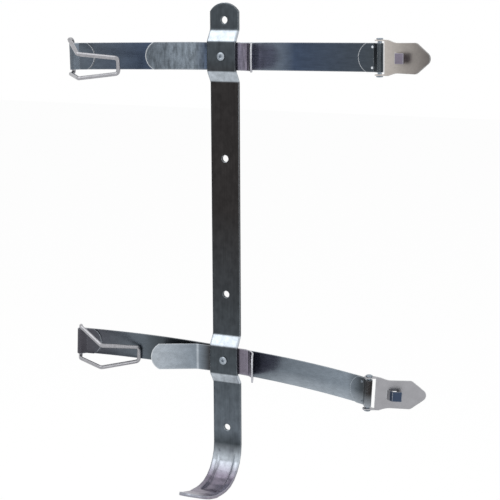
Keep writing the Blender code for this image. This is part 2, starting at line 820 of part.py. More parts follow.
def build_arm(side, height, tilt, bows, swings, finishes):
    """One band with its bail, pin and lever, turned about its rivet."""
    bail_bow, lever_bow = bows
    bail_swing, lever_swing = swings
    plating, wire, steel = finishes
    turn = Matrix.Rotation(math.radians(tilt), 4, "Y")
    rivet_axis = guide(f"{side}_rivet_axis", Matrix.Translation((0.0, BAND_MID_Y, height)) @ turn)
    hang(build_band(f"{side}_band", bail_bow, lever_bow, plating), rivet_axis)
    left = fold(BAIL_SIDE_REACH, bail_bow, BAIL_LOOP_RADIUS)[2]
    right = fold(LEVER_SIDE_REACH, lever_bow, PIN_LOOP_RADIUS)[2]
    left_angle = math.atan(end_slope(BAIL_SIDE_REACH, bail_bow))
    bail_place = Matrix.Translation((-left.x, left.y, 0.0)) @ Matrix.Rotation(-left_angle, 4, "Z")
    bail_turn = Matrix.Rotation(math.radians(bail_swing), 4, "Z")
    bail_axis = guide(f"{side}_bail_axis", bail_place @ bail_turn, rivet_axis)
    hang(build_bail(f"{side}_bail", wire), bail_axis)
    pin_axis = guide(f"{side}_pin_axis", Matrix.Translation((right.x, right.y, 0.0)), rivet_axis)
    hang(build_pin(f"{side}_hinge_pin", wire), pin_axis)
    swing = Matrix.Rotation(math.radians(lever_swing), 4, "Z")
    lever_axis = guide(f"{side}_lever_axis", swing, pin_axis)
    hang(build_lever(f"{side}_lever", steel), lever_axis)


def build():
    """Model the whole bracket."""
    clear_scene()
    new_collection(COLLECTION_NAME)
    new_collection(CUTTER_COLLECTION_NAME)
    plating = zinc_plate("zinc_plated_steel")
    wire = bright_wire("bright_zinc_wire")
    steel = satin_steel("satin_stainless")
    finishes = (plating, wire, steel)
    build_backbone(plating)
    for side, height in (("upper", UPPER_Z), ("lower", LOWER_Z)):
        build_cradle(f"{side}_cradle", height, plating)
        build_rivet(f"{side}_rivet", height, wire)
    upper_bows = (UPPER_BAIL_SIDE_BOW, UPPER_LEVER_SIDE_BOW)
    lower_bows = (LOWER_BAIL_SIDE_BOW, LOWER_LEVER_SIDE_BOW)
    upper_swings = (UPPER_BAIL_SWING, UPPER_LEVER_SWING)
    lower_swings = (LOWER_BAIL_SWING, LOWER_LEVER_SWING)
    build_arm("upper", UPPER_Z, UPPER_BAND_TILT, upper_bows, upper_swings, finishes)
    build_arm("lower", LOWER_Z, LOWER_BAND_TILT, lower_bows, lower_swings, finishes)
    bpy.context.view_layer.update()


build()
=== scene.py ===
"""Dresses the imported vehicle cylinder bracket: its finishes, small details, studio and camera."""

import json
import logging
import math
from dataclasses import dataclass
from enum import Enum
from typing import Any, Dict, Optional, Tuple

import bmesh
import bpy
from mathutils import Matrix, Vector
from mathutils.bvhtree import BVHTree


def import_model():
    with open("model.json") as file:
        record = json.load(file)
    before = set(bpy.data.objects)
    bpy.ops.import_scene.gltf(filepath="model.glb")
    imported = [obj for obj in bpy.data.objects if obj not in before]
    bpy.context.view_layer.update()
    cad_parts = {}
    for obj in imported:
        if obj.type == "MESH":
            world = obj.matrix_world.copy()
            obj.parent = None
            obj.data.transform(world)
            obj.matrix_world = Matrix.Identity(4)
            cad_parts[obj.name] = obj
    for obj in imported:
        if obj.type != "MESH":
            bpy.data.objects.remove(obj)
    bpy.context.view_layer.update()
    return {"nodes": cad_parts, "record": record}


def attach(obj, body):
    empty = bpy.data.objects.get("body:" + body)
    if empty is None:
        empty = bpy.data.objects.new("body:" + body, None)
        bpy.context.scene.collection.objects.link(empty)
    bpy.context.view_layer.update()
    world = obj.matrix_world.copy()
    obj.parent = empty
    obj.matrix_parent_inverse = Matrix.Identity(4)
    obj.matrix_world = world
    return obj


LOG = logging.getLogger("bracket")
MM = 0.001

# how the marks on the steel are drawn
TONE_STRAY_MM = 1.2
BEND_BLUR_MM = 1.0
NOISE_LOW = 0.3
NOISE_HIGH = 0.7
NOISE_ROUGHNESS = 0.55
GRAIN_DETAIL = 4.0
MOTTLE_DETAIL = 3.0
MOTTLE_STRETCH = 1.6
MOTTLE_CROSS_STRETCH = 4.0
EDGE_TURN_LOW = 0.14
EDGE_TURN_HIGH = 0.3
EDGE_SAMPLES = 6
SOFTEN_SAMPLES = 8
GLOSS_BELOW = 0.05
GLOSS_ABOVE = 0.07
GRAIN_STRENGTH = 0.4

# stations along the strap, by height, and along the arms, by distance from the middle, in mm
HALF_SPACING = 152.0
# the joggles get painted highlights at these stations, and the foot gets a painted shade at
# FOOT_SHADE and a painted highlight at FOOT_CROWN
JOGGLE_REACH = 19.5
JOGGLE_HALF = 5.0
DARK_MARGIN = 26.0
FOLD_MARGIN = 10.0
FOOT_START = -228.0
FOOT_SHADE = -242.0
FOOT_CROWN = -258.0
FOOT_TIP = -272.0
CRADLE_REACH = 75.0
CRADLE_CREASE = 30.5
CRADLE_STEP = 16.0
STEEP_REACH = 30.0
# the bands get a painted light over this length, paler to lift the shade that the steep wing casts
# on them there
STEEP_PAINTED_LIGHT = 12.0
BAND_REACH = 162.0
BAIL_REACH = 95.0
RIVET_REACH = 5.0
LEVER_TIP = 215.0


class Run(Enum):
    """The direction in which a surface was rolled or drawn, so its marks run along it."""

    ALONG_X = (1.0, 0.0, 0.0)
    ALONG_Z = (0.0, 0.0, 1.0)


class Tone(Enum):
    """The few tones of the bracket's steel, rounded and named for how they look."""

    CHARCOAL = "#323030"
    GRAPHITE = "#454b50"
    BLUE_STEEL = "#404c60"
    BROWN_GREY = "#4a474d"
    SLATE = "#606870"
    STEEL = "#808a94"
    DUSK = "#807a88"
    PALE = "#b0b8c0"
    BRIGHT = "#d8dce0"
    WARM_SATIN = "#c0bab4"
    WARM_SHADE = "#686462"
    COOL_SATIN = "#a0a0a4"


def srgb(code: str) -> Tuple[float, float, float, float]:
    """Turns a hex colour as seen on a screen into the linear colour that a shader takes.

    Args:
        code: The colour as #rrggbb.

    Returns:
        The linear red, green, blue and an alpha of 1.
    """
    parts = [int(code[i : i + 2], 16) / 255.0 for i in (1, 3, 5)]
    linear = [p / 12.92 if p <= 0.04045 else ((p + 0.055) / 1.055) ** 2.4 for p in parts]
    return (linear[0], linear[1], linear[2], 1.0)


def add_node(
    tree: bpy.types.NodeTree,
    kind: str,
    settings: Optional[Dict[str, Any]] = None,
    inputs: Optional[Dict[Any, Any]] = None,
) -> bpy.types.Node:
    """Adds one shader node with its settings, values and links.

    Args:
        tree: The node tree that gets it.
        kind: The node's type name.
        settings: Attributes of the node and their values.
        inputs: Sockets by name or number, each with a value or with the output that feeds it.

    Returns:
        The new node.
    """
    node = tree.nodes.new(kind)
    for name, value in (settings or {}).items():
        setattr(node, name, value)
    for name, value in (inputs or {}).items():
        socket = node.inputs[name]
        if isinstance(value, bpy.types.NodeSocket):
            tree.links.new(value, socket)
        else:
            socket.default_value = value
    return node


def new_material(name: str) -> Tuple[bpy.types.Material, bpy.types.NodeTree]:
    """Makes an empty node material.

    Args:
        name: The material's name.

    Returns:
        The material and its node tree.
    """
    material = bpy.data.materials.new(name)
    material.use_nodes = True
    material.node_tree.nodes.clear()
    return material, material.node_tree


def hinge_place(side: str) -> Vector:
    """Gives the middle of a lever's hinge, as the record states it.

    Args:
        side: The arm, upper or lower.

    Returns:
        The place in metres.
    """
    joints = frame["record"]["behaviour"]["joints"]
    joint = next(item for item in joints if item["name"] == f"{side}_lever_swing")
    return Vector(joint["pos_m"])


@dataclass(frozen=True)
class HookFace:
    """The raised face of a lever's hook tab, with a painted reflection that makes it darker than
    the plate.
    """

    tone: Tone
    side: str
    swing_deg: float
    clearance_mm: float = 5.4

    def plate_normal(self) -> Vector:
        """Gives the direction square to the lever's plate, towards the wall."""
        swing = math.radians(self.swing_deg)
        return Vector((-math.sin(swing), math.cos(swing), 0.0))


@dataclass(frozen=True)
class LowerHalf:
    """A paler lower half of a band, which stands for a soft reflection drawn in its tone."""

    tone: Tone
    height: float
    half_width_mm: float = 13.0
    start_mm: float = 20.0
    full_mm: float = 75.0
    share: float = 0.6


@dataclass(frozen=True)
class RolledPlate:
    """Cold rolled steel with a zinc plating or a satin finish.

    The plating mirrors its surroundings softly. Its tone drifts along the strip, and this drift is
    partly painted reflection and painted shade, with painted highlights as paler bars over each
    bend; fine rolling marks run with the strip, and the sheared edges get a painted highlight.
    """

    name: str
    run: Run
    tones: Tuple[Tuple[float, Tone], ...]
    bend_highlights: Tuple[Tuple[float, float], ...] = ()
    # the tone of the painted highlight laid over each bend
    stretched: Tone = Tone.PALE
    hook: Optional[HookFace] = None
    lower_half: Optional[LowerHalf] = None
    # the tone of the painted highlight along the sheared edges
    edge: Tone = Tone.PALE
    streak_length_mm: float = 40.0
    streak_width_mm: float = 0.9
    mottle_mm: float = 5.0
    grain_contrast: float = 0.16
    mottle_contrast: float = 0.22
    roughness: float = 0.32
    edge_radius_mm: float = 0.8
    end_share: float = 0.9
    side_share: float = 0.25
    mottle_across: bool = False
    grain_depth_mm: float = 0.006
    soften_mm: float = 0.4

    def _stretch(self, length_mm: float, width_mm: float) -> Tuple[float, ...]:
        """Gives the mapping scale, in repeats a metre, of a mark of that length and width."""
        return tuple(
            1.0 / ((length_mm if part else width_mm) * MM) for part in self.run.value
        )

    def _noise(
        self,
        tree: bpy.types.NodeTree,
        place: bpy.types.NodeSocket,
        size: Tuple[float, float],
        detail: float,
    ) -> bpy.types.NodeSocket:
        """Adds a noise whose marks have the given length and width.

        Args:
            tree: The material's node tree.
            place: The object coordinates.
            size: The marks' length and width in millimetres.
            detail: The noise's octaves.

        Returns:
            The noise's value.
        """
        stretched = add_node(
            tree,
            "ShaderNodeMapping",
            inputs={"Vector": place, "Scale": self._stretch(*size)},
        )
        noise = add_node(
            tree,
            "ShaderNodeTexNoise",
            inputs={
                "Vector": stretched.outputs["Vector"],
                "Scale": 1.0,
                "Detail": detail,
                "Roughness": NOISE_ROUGHNESS,
            },
        )
        return noise.outputs["Fac"]

    def _tone(
        self,
        tree: bpy.types.NodeTree,
        place: bpy.types.NodeSocket,
        wander: bpy.types.NodeSocket,
    ) -> bpy.types.NodeSocket:
        """Adds the colour that drifts along the strip.

        Args:
            tree: The material's node tree.
            place: The object coordinates.
            wander: A noise that keeps the drift from ending in straight lines.

        Returns:
            The colour, partly painted reflection and painted shade.
        """
        split = add_node(tree, "ShaderNodeSeparateXYZ", inputs={"Vector": place})
        along = split.outputs["Z" if self.run is Run.ALONG_Z else "X"]
        low = self.tones[0][0] * MM
        high = self.tones[-1][0] * MM
        strayed = add_node(
            tree,
            "ShaderNodeMath",
            {"operation": "MULTIPLY_ADD"},
            {0: wander, 1: TONE_STRAY_MM * MM, 2: along},
        )
        share = add_node(
            tree,
            "ShaderNodeMapRange",
            inputs={
                "Value": strayed.outputs[0],
                "From Min": low + TONE_STRAY_MM * MM / 2.0,
                "From Max": high + TONE_STRAY_MM * MM / 2.0,
            },
        )
        ramp = add_node(
            tree, "ShaderNodeValToRGB", inputs={"Fac": share.outputs["Result"]}
        )
        stops = ramp.color_ramp.elements
        for index, (station_mm, tone) in enumerate(self.tones):
            spot = (station_mm * MM - low) / (high - low)
            if index == 0:
                stop = stops[0]
            elif index == len(self.tones) - 1:
                stop = stops[len(stops) - 1]
            else:
                stop = stops.new(spot)
            stop.position = spot
            stop.color = srgb(tone.value)
        color = ramp.outputs["Color"]
        for centre_mm, half_mm in self.bend_highlights:
            color = self._bend_highlight(tree, along, color, centre_mm, half_mm)
        return color

    def _bend_highlight(
        self,
        tree: bpy.types.NodeTree,
        along: bpy.types.NodeSocket,
        color: bpy.types.NodeSocket,
        centre_mm: float,
        half_mm: float,
    ) -> bpy.types.NodeSocket:
        """Lays a painted highlight, a paler bar, over the colour at a bend.

        Args:
            tree: The material's node tree.
            along: The coordinate along the strip.
            color: The colour so far.
            centre_mm: Where the bend's middle is along the strip.
            half_mm: Half the bend's length.

        Returns:
            The colour with the bar.
        """
        away = add_node(
            tree,
            "ShaderNodeMath",
            {"operation": "SUBTRACT"},
            {0: along, 1: centre_mm * MM},
        )
        reach = add_node(
            tree, "ShaderNodeMath", {"operation": "ABSOLUTE"}, {0: away.outputs[0]}
        )
        bar = add_node(
            tree,
            "ShaderNodeMapRange",
            {"interpolation_type": "SMOOTHSTEP"},
            {
                "Value": reach.outputs[0],
                "From Min": (half_mm - BEND_BLUR_MM) * MM,
                "From Max": (half_mm + BEND_BLUR_MM) * MM,
                "To Min": 1.0,
                "To Max": 0.0,
            },
        )
        laid = add_node(
            tree,
            "ShaderNodeMix",
            {"data_type": "RGBA"},
            {"Factor": bar.outputs["Result"], 6: color, 7: srgb(self.stretched.value)},
        )
        return laid.outputs[2]

    def _hook_face(
        self,
        tree: bpy.types.NodeTree,
        place: bpy.types.NodeSocket,
        color: bpy.types.NodeSocket,
        hook: HookFace,
    ) -> bpy.types.NodeSocket:
        """Lays a painted reflection in another tone over what stands proud of the lever's plate.

        Args:
            tree: The material's node tree.
            place: The object coordinates.
            color: The colour so far.
            hook: The tab's tone and the plate that it stands on.

        Returns:
            The colour with the tab's face.
        """
        height = add_node(
            tree,
            "ShaderNodeVectorMath",
            {"operation": "DOT_PRODUCT"},
            {0: place, 1: hook.plate_normal()},
        )
        base = hinge_place(hook.side).dot(hook.plate_normal())
        proud = add_node(
            tree,
            "ShaderNodeMapRange",
            inputs={
                "Value": height.outputs["Value"],
                "From Min": base - (hook.clearance_mm + BEND_BLUR_MM) * MM,
                "From Max": base - hook.clearance_mm * MM,
                "To Min": 1.0,
                "To Max": 0.0,
            },
        )
        laid = add_node(
            tree,
            "ShaderNodeMix",
            {"data_type": "RGBA"},
            {"Factor": proud.outputs["Result"], 6: color, 7: srgb(hook.tone.value)},
        )
        return laid.outputs[2]

    def _pale_half(
        self,
        tree: bpy.types.NodeTree,
        place: bpy.types.NodeSocket,
        color: bpy.types.NodeSocket,
        half: LowerHalf,
    ) -> bpy.types.NodeSocket:
        """Lays a paler tone over the lower half of the band's lever side.

        Args:
            tree: The material's node tree.
            place: The object coordinates.
            color: The colour so far.
            half: The painted reflection's tone and where it lies.

        Returns:
            The colour with the paler half.
        """
        hinge = hinge_place("lower")
        across = Vector(((half.height - hinge.z) / hinge.x, 0.0, 1.0))
        down = add_node(
            tree,
            "ShaderNodeVectorMath",
            {"operation": "DOT_PRODUCT"},
            {0: place, 1: across},
        )
        low = add_node(
            tree,
            "ShaderNodeMapRange",
            inputs={
                "Value": down.outputs["Value"],
                "From Min": half.height,
                "From Max": half.height - half.half_width_mm * MM,
                "To Max": half.share,
            },
        )
        split = add_node(tree, "ShaderNodeSeparateXYZ", inputs={"Vector": place})
        out = add_node(
            tree,
            "ShaderNodeMapRange",
            inputs={
                "Value": split.outputs["X"],
                "From Min": half.start_mm * MM,
                "From Max": half.full_mm * MM,
            },
        )
        share = add_node(
            tree,
            "ShaderNodeMath",
            {"operation": "MULTIPLY"},
            {0: low.outputs["Result"], 1: out.outputs["Result"]},
        )
        laid = add_node(
            tree,
            "ShaderNodeMix",
            {"data_type": "RGBA"},
            {"Factor": share.outputs[0], 6: color, 7: srgb(half.tone.value)},
        )
        return laid.outputs[2]

    def _edge_highlight(self, tree: bpy.types.NodeTree) -> bpy.types.NodeSocket:
        """Adds a mask that is high where the surface turns at a sheared edge.

        The mask places a painted highlight. The strip's ends and its long sides are told apart by
        the way in which the surface turns, so that the ends get the stronger painted highlight.

        Args:
            tree: The material's node tree.

        Returns:
            The mask, from 0 on a flat to 1 at an edge.
        """
        rounded = add_node(
            tree,
            "ShaderNodeBevel",
            {"samples": EDGE_SAMPLES},
            {"Radius": self.edge_radius_mm * MM},
        )
        flat = add_node(tree, "ShaderNodeNewGeometry")
        turn = add_node(
            tree,
            "ShaderNodeVectorMath",
            {"operation": "SUBTRACT"},
            {0: rounded.outputs["Normal"], 1: flat.outputs["True Normal"]},
        )
        local = add_node(
            tree,
            "ShaderNodeVectorTransform",
            {"vector_type": "VECTOR", "convert_from": "WORLD", "convert_to": "OBJECT"},
            {"Vector": turn.outputs["Vector"]},
        )
        split = add_node(
            tree, "ShaderNodeSeparateXYZ", inputs={"Vector": local.outputs["Vector"]}
        )
        shares = {"X": self.side_share, "Z": self.side_share}
        shares["Z" if self.run is Run.ALONG_Z else "X"] = self.end_share
        masks = []
        for axis, share in shares.items():
            size = add_node(
                tree,
                "ShaderNodeMath",
                {"operation": "ABSOLUTE"},
                {0: split.outputs[axis]},
            )
            mask = add_node(
                tree,
                "ShaderNodeMapRange",
                inputs={
                    "Value": size.outputs[0],
                    "From Min": EDGE_TURN_LOW,
                    "From Max": EDGE_TURN_HIGH,
                    "To Min": 0.0,
                    "To Max": share,
                },
            )
            masks.append(mask.outputs["Result"])
        both = add_node(
            tree, "ShaderNodeMath", {"operation": "MAXIMUM"}, {0: masks[0], 1: masks[1]}
        )
        return both.outputs[0]

    def make(self) -> bpy.types.Material:
        """Builds the material.

        Returns:
            The finished material.
        """
        material, tree = new_material(self.name)
        place = add_node(tree, "ShaderNodeTexCoord").outputs["Object"]
        grain = self._noise(
            tree, place, (self.streak_length_mm, self.streak_width_mm), GRAIN_DETAIL
        )
        length, width = MOTTLE_STRETCH * self.mottle_mm, self.mottle_mm
        if self.mottle_across:
            length, width = self.mottle_mm, MOTTLE_CROSS_STRETCH * self.mottle_mm
        mottle = self._noise(tree, place, (length, width), MOTTLE_DETAIL)
        tone = self._tone(tree, place, mottle)
        if self.hook is not None:
            tone = self._hook_face(tree, place, tone, self.hook)
        if self.lower_half is not None:
            tone = self._pale_half(tree, place, tone, self.lower_half)
        gains = []
        for noise, contrast in (
            (grain, self.grain_contrast),
            (mottle, self.mottle_contrast),
        ):
            spread = add_node(
                tree,
                "ShaderNodeMapRange",
                inputs={
                    "Value": noise,
                    "From Min": NOISE_LOW,
                    "From Max": NOISE_HIGH,
                    "To Min": 1.0 - contrast,
                    "To Max": 1.0 + contrast,
                },
            )
            gains.append(spread.outputs["Result"])
        gain = add_node(
            tree,
            "ShaderNodeMath",
            {"operation": "MULTIPLY"},
            {0: gains[0], 1: gains[1]},
        )
        marked = add_node(
            tree,
            "ShaderNodeVectorMath",
            {"operation": "SCALE"},
            {0: tone, "Scale": gain.outputs[0]},
        )
        # a painted highlight in the edge tone along the sheared edges
        highlit = add_node(
            tree,
            "ShaderNodeMix",
            {"data_type": "RGBA"},
            {
                "Factor": self._edge_highlight(tree),
                6: marked.outputs["Vector"],
                7: srgb(self.edge.value),
            },
        )
        gloss = add_node(
            tree,
            "ShaderNodeMapRange",
            inputs={
                "Value": grain,
                "To Min": self.roughness - GLOSS_BELOW,
                "To Max": self.roughness + GLOSS_ABOVE,
            },
        )
        soft = add_node(
            tree,
            "ShaderNodeBevel",
            {"samples": SOFTEN_SAMPLES},
            {"Radius": self.soften_mm * MM},
        )
        brush = add_node(
            tree,
            "ShaderNodeBump",
            inputs={
                "Normal": soft.outputs["Normal"],
                "Strength": GRAIN_STRENGTH,
                "Distance": self.grain_depth_mm * MM,
                "Height": grain,
            },
        )
        shader = add_node(
            tree,
            "ShaderNodeBsdfPrincipled",
            inputs={
                "Base Color": highlit.outputs[2],
                "Metallic": 1.0,
                "Roughness": gloss.outputs["Result"],
                "Normal": brush.outputs["Normal"],
            },
        )
        add_node(
            tree, "ShaderNodeOutputMaterial", inputs={"Surface": shader.outputs["BSDF"]}
        )
        return material


class Finishes:
    """Every finish on the bracket, each made once and shared by the pieces that have it."""

    def __init__(self) -> None:
        """Makes the materials."""
        # dark zinc plate, rolled: charcoal with faint upright lines; its tone along it is partly
        # painted reflection, with painted highlights on the joggles, the foot's crown and the side
        # edges, and a painted shade where the foot starts
        self.strap = RolledPlate(
            "dark_zinc_plate_strap",
            Run.ALONG_Z,
            tones=(
                (FOOT_TIP, Tone.DUSK),
                (FOOT_CROWN, Tone.PALE),
                (FOOT_SHADE, Tone.GRAPHITE),
                (FOOT_START, Tone.SLATE),
                (-HALF_SPACING, Tone.GRAPHITE),
                (0.0, Tone.CHARCOAL),
                (HALF_SPACING - DARK_MARGIN, Tone.CHARCOAL),
                (HALF_SPACING, Tone.GRAPHITE),
            ),
            side_share=0.6,
            soften_mm=3.0,
            grain_contrast=0.11,
            mottle_contrast=0.18,
            bend_highlights=tuple(
                (side * HALF_SPACING + step * JOGGLE_REACH, JOGGLE_HALF)
                for side in (-1.0, 1.0)
                for step in (-1.0, 1.0)
            ),
        ).make()
        # zinc plate smudged across the strip by handling; its tone along it is painted shade and
        # painted reflection, with painted highlights on its sheared ends
        self.upper_cradle = RolledPlate(
            "zinc_plate_upper_cradle",
            Run.ALONG_X,
            tones=(
                (-CRADLE_REACH, Tone.SLATE),
                (-CRADLE_CREASE, Tone.STEEL),
                (-CRADLE_STEP, Tone.BLUE_STEEL),
                (STEEP_REACH, Tone.DUSK),
            ),
            edge=Tone.BRIGHT,
            roughness=0.27,
            edge_radius_mm=1.8,
            end_share=1.0,
            mottle_across=True,
            mottle_mm=3.0,
            mottle_contrast=0.42,
        ).make()
        # zinc plate, smoother and paler; its tone along it is painted reflection and painted shade,
        # with a painted highlight as a pale line at its crease and painted highlights on its
        # sheared ends
        self.lower_cradle = RolledPlate(
            "zinc_plate_lower_cradle",
            Run.ALONG_X,
            tones=(
                (-CRADLE_REACH, Tone.PALE),
                (-CRADLE_CREASE, Tone.STEEL),
                (-CRADLE_STEP, Tone.CHARCOAL),
                (STEEP_REACH, Tone.DUSK),
            ),
            bend_highlights=((-CRADLE_CREASE, BEND_BLUR_MM),),
            edge=Tone.BRIGHT,
            roughness=0.27,
            edge_radius_mm=1.8,
            end_share=1.0,
            grain_contrast=0.08,
            mottle_contrast=0.12,
        ).make()
        # zinc plate with a blue cast, darker towards the hinge; its tone is partly painted
        # reflection, with a painted light beside the steep wing and painted highlights on its edges
        self.upper_band = RolledPlate(
            "zinc_plate_upper_band",
            Run.ALONG_X,
            tones=(
                (-BAND_REACH, Tone.SLATE),
                (-CRADLE_REACH, Tone.BLUE_STEEL),
                (STEEP_REACH, Tone.PALE),
                (STEEP_REACH + STEEP_PAINTED_LIGHT, Tone.STEEL),
                (CRADLE_REACH, Tone.BLUE_STEEL),
                (BAND_REACH, Tone.GRAPHITE),
            ),
            edge=Tone.BRIGHT,
            edge_radius_mm=1.3,
            roughness=0.27,
            grain_contrast=0.1,
            mottle_contrast=0.1,
        ).make()
        # zinc plate, grey, palest before the fold at the hinge; its tone along it is partly painted
        # reflection, with a painted reflection on its lower half and painted highlights on its ends
        self.lower_band = RolledPlate(
            "zinc_plate_lower_band",
            Run.ALONG_X,
            tones=(
                (-BAND_REACH, Tone.BROWN_GREY),
                (-BAIL_REACH, Tone.SLATE),
                (-CRADLE_REACH, Tone.GRAPHITE),
                (0.0, Tone.CHARCOAL),
                (STEEP_REACH, Tone.SLATE),
                (BAND_REACH - DARK_MARGIN, Tone.STEEL),
                (BAND_REACH - FOLD_MARGIN, Tone.GRAPHITE),
                (BAND_REACH, Tone.CHARCOAL),
            ),
            lower_half=LowerHalf(Tone.PALE, -HALF_SPACING * MM),
            edge_radius_mm=1.3,
            roughness=0.27,
            grain_contrast=0.1,
            mottle_contrast=0.08,
        ).make()
        # plated rivet head: small bright marks
        self.rivet = RolledPlate(
            "plated_rivet",
            Run.ALONG_X,
            tones=((-RIVET_REACH, Tone.STEEL), (RIVET_REACH, Tone.PALE)),
            streak_length_mm=2.0,
            streak_width_mm=0.6,
            mottle_mm=1.5,
        ).make()
        # plated steel pin: plain grey and glossier than the strips
        self.pin = RolledPlate(
            "plated_pin",
            Run.ALONG_Z,
            tones=((-BAND_REACH, Tone.STEEL), (BAND_REACH, Tone.STEEL)),
            streak_length_mm=8.0,
            streak_width_mm=0.5,
            mottle_mm=2.0,
            roughness=0.2,
            end_share=0.4,
        ).make()
        # drawn wire: even satin grey
        self.wire = RolledPlate(
            "bright_drawn_wire",
            Run.ALONG_X,
            tones=((-BAND_REACH, Tone.COOL_SATIN), (0.0, Tone.COOL_SATIN)),
            streak_length_mm=20.0,
            streak_width_mm=0.6,
            mottle_mm=3.0,
            roughness=0.26,
            grain_depth_mm=0.001,
            end_share=0.0,
            side_share=0.0,
            grain_contrast=0.12,
            mottle_contrast=0.1,
        ).make()
        # brushed stainless, warm and pale, darker towards the tip, with a painted reflection on the
        # hook tab's face and painted highlights on its edges
        self.upper_lever = RolledPlate(
            "satin_stainless_upper_lever",
            Run.ALONG_X,
            tones=((BAND_REACH, Tone.WARM_SATIN), (LEVER_TIP, Tone.WARM_SHADE)),
            hook=HookFace(Tone.DUSK, "upper", -15.0),
            edge=Tone.BRIGHT,
            end_share=0.6,
            streak_length_mm=25.0,
            streak_width_mm=0.5,
            mottle_mm=6.0,
            roughness=0.36,
            grain_contrast=0.1,
            mottle_contrast=0.06,
        ).make()
        # brushed stainless, cool and even, with a painted reflection on the hook tab's face and
        # painted highlights on its edges
        self.lower_lever = RolledPlate(
            "satin_stainless_lower_lever",
            Run.ALONG_X,
            tones=((BAND_REACH, Tone.COOL_SATIN), (LEVER_TIP, Tone.COOL_SATIN)),
            hook=HookFace(Tone.BLUE_STEEL, "lower", 24.4),
            edge=Tone.BRIGHT,
            end_share=0.6,
            streak_length_mm=25.0,
            streak_width_mm=0.5,
            mottle_mm=6.0,
            roughness=0.36,
            grain_contrast=0.06,
            mottle_contrast=0.05,
        ).make()
        # spot weld: a small button, bright on the upper arm and dull on the lower one
        self.upper_weld = self._weld_button("bright_weld_button", Tone.PALE, Tone.BRIGHT)
        self.lower_weld = self._weld_button("dull_weld_button", Tone.SLATE, Tone.SLATE)

    def _weld_button(self, name: str, near: Tone, far: Tone) -> bpy.types.Material:
        """Makes the finish of a spot weld.

        Args:
            name: The material's name.
            near: Its tone towards the strap.
            far: Its tone towards the hinge.

        Returns:
            The material.
        """
        return RolledPlate(
            name,
            Run.ALONG_X,
            tones=((0.0, near), (BAND_REACH, far)),
            streak_length_mm=2.0,
            streak_width_mm=0.6,
            mottle_mm=0.8,
        ).make()


def dress(name: str, material: bpy.types.Material) -> bpy.types.Object:
    """Gives a carried-over CAD node its finish.

    Args:
        name: The node's name.
        material: The finish.

    Returns:
        The node's object.
    """
    node = frame["nodes"][name]
    node.data.materials.clear()
    node.data.materials.append(material)
    LOG.info("dressed %s", name)
    return node


@dataclass
class Backbone:
    """The strap with its foot, and the rivets through it."""

    finishes: Finishes

    def build(self) -> None:
        """Dresses the strap and the rivets."""
        dress("backbone_strap", self.finishes.strap)
        for side in ("upper", "lower"):
            dress(f"{side}_rivet", self.finishes.rivet)
        dress("upper_cradle", self.finishes.upper_cradle)
        dress("lower_cradle", self.finishes.lower_cradle)


@dataclass
class Arm:
    """One swivelling band with its bail, hinge pin and lever."""

    side: str
    finishes: Finishes
    band_finish: bpy.types.Material
    lever_finish: bpy.types.Material
    weld_finish: bpy.types.Material
    weld_from_hinge: float = 0.0076
    weld_offset: float = 0.0095
    weld_radius: float = 0.0014
    weld_rise: float = 0.0003
    weld_sink: float = 0.0003
    weld_shoulder: float = 0.8
    weld_dip: float = 0.7
    weld_steps: int = 20

    def build(self) -> None:
        """Dresses the arm's nodes."""
        dress(f"{self.side}_band", self.band_finish)
        dress(f"{self.side}_hinge_pin", self.finishes.pin)
        dress(f"{self.side}_bail", self.finishes.wire)
        dress(f"{self.side}_lever", self.lever_finish)
        for step in (-1.0, 1.0):
            self._weld(step)

    def _weld(self, step: float) -> None:
        """Presses one spot weld into the fold behind the hinge.

        Args:
            step: 1 for the weld above the band's middle, -1 for the one below.
        """
        band = frame["nodes"][f"{self.side}_band"]
        tree = BVHTree.FromPolygons(
            [vertex.co[:] for vertex in band.data.vertices],
            [face.vertices[:] for face in band.data.polygons],
        )
        hinge = hinge_place(self.side)
        start = Vector(
            (hinge.x - self.weld_from_hinge, -1.0, hinge.z + step * self.weld_offset)
        )
        place, normal, _, _ = tree.ray_cast(start, Vector((0.0, 1.0, 0.0)))
        turn = normal.to_track_quat("Z", "Y").to_matrix().to_4x4()
        form = bmesh.new()
        low, high = -self.weld_sink, self.weld_rise
        radius = self.weld_radius
        shoulder, dip = self.weld_shoulder * radius, self.weld_dip * high
        profile = [(0.0, low), (radius, low), (shoulder, high), (0.0, dip)]
        points = [form.verts.new((across, 0.0, up)) for across, up in profile]
        edges = [form.edges.new(pair) for pair in zip(points, points[1:])]
        bmesh.ops.spin(
            form,
            geom=points + edges,
            cent=(0.0, 0.0, 0.0),
            axis=(0.0, 0.0, 1.0),
            angle=math.tau,
            steps=self.weld_steps,
            use_merge=True,
        )
        bmesh.ops.remove_doubles(form, verts=form.verts, dist=MM * MM)
        bmesh.ops.recalc_face_normals(form, faces=form.faces)
        bmesh.ops.transform(form, matrix=Matrix.Translation(place) @ turn, verts=form.verts)
        name = f"{self.side}_weld_{'top' if step > 0.0 else 'bottom'}"
        mesh = bpy.data.meshes.new(name)
        form.to_mesh(mesh)
        form.free()
        mesh.materials.append(self.weld_finish)
        piece = bpy.data.objects.new(name, mesh)
        bpy.context.scene.collection.objects.link(piece)
        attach(piece, f"{self.side}_arm")
        LOG.info("made %s", name)


@dataclass(frozen=True)
class Softbox:
    """A square soft lamp."""

    name: str
    place: Tuple[float, float, float]
    side: float
    power: float


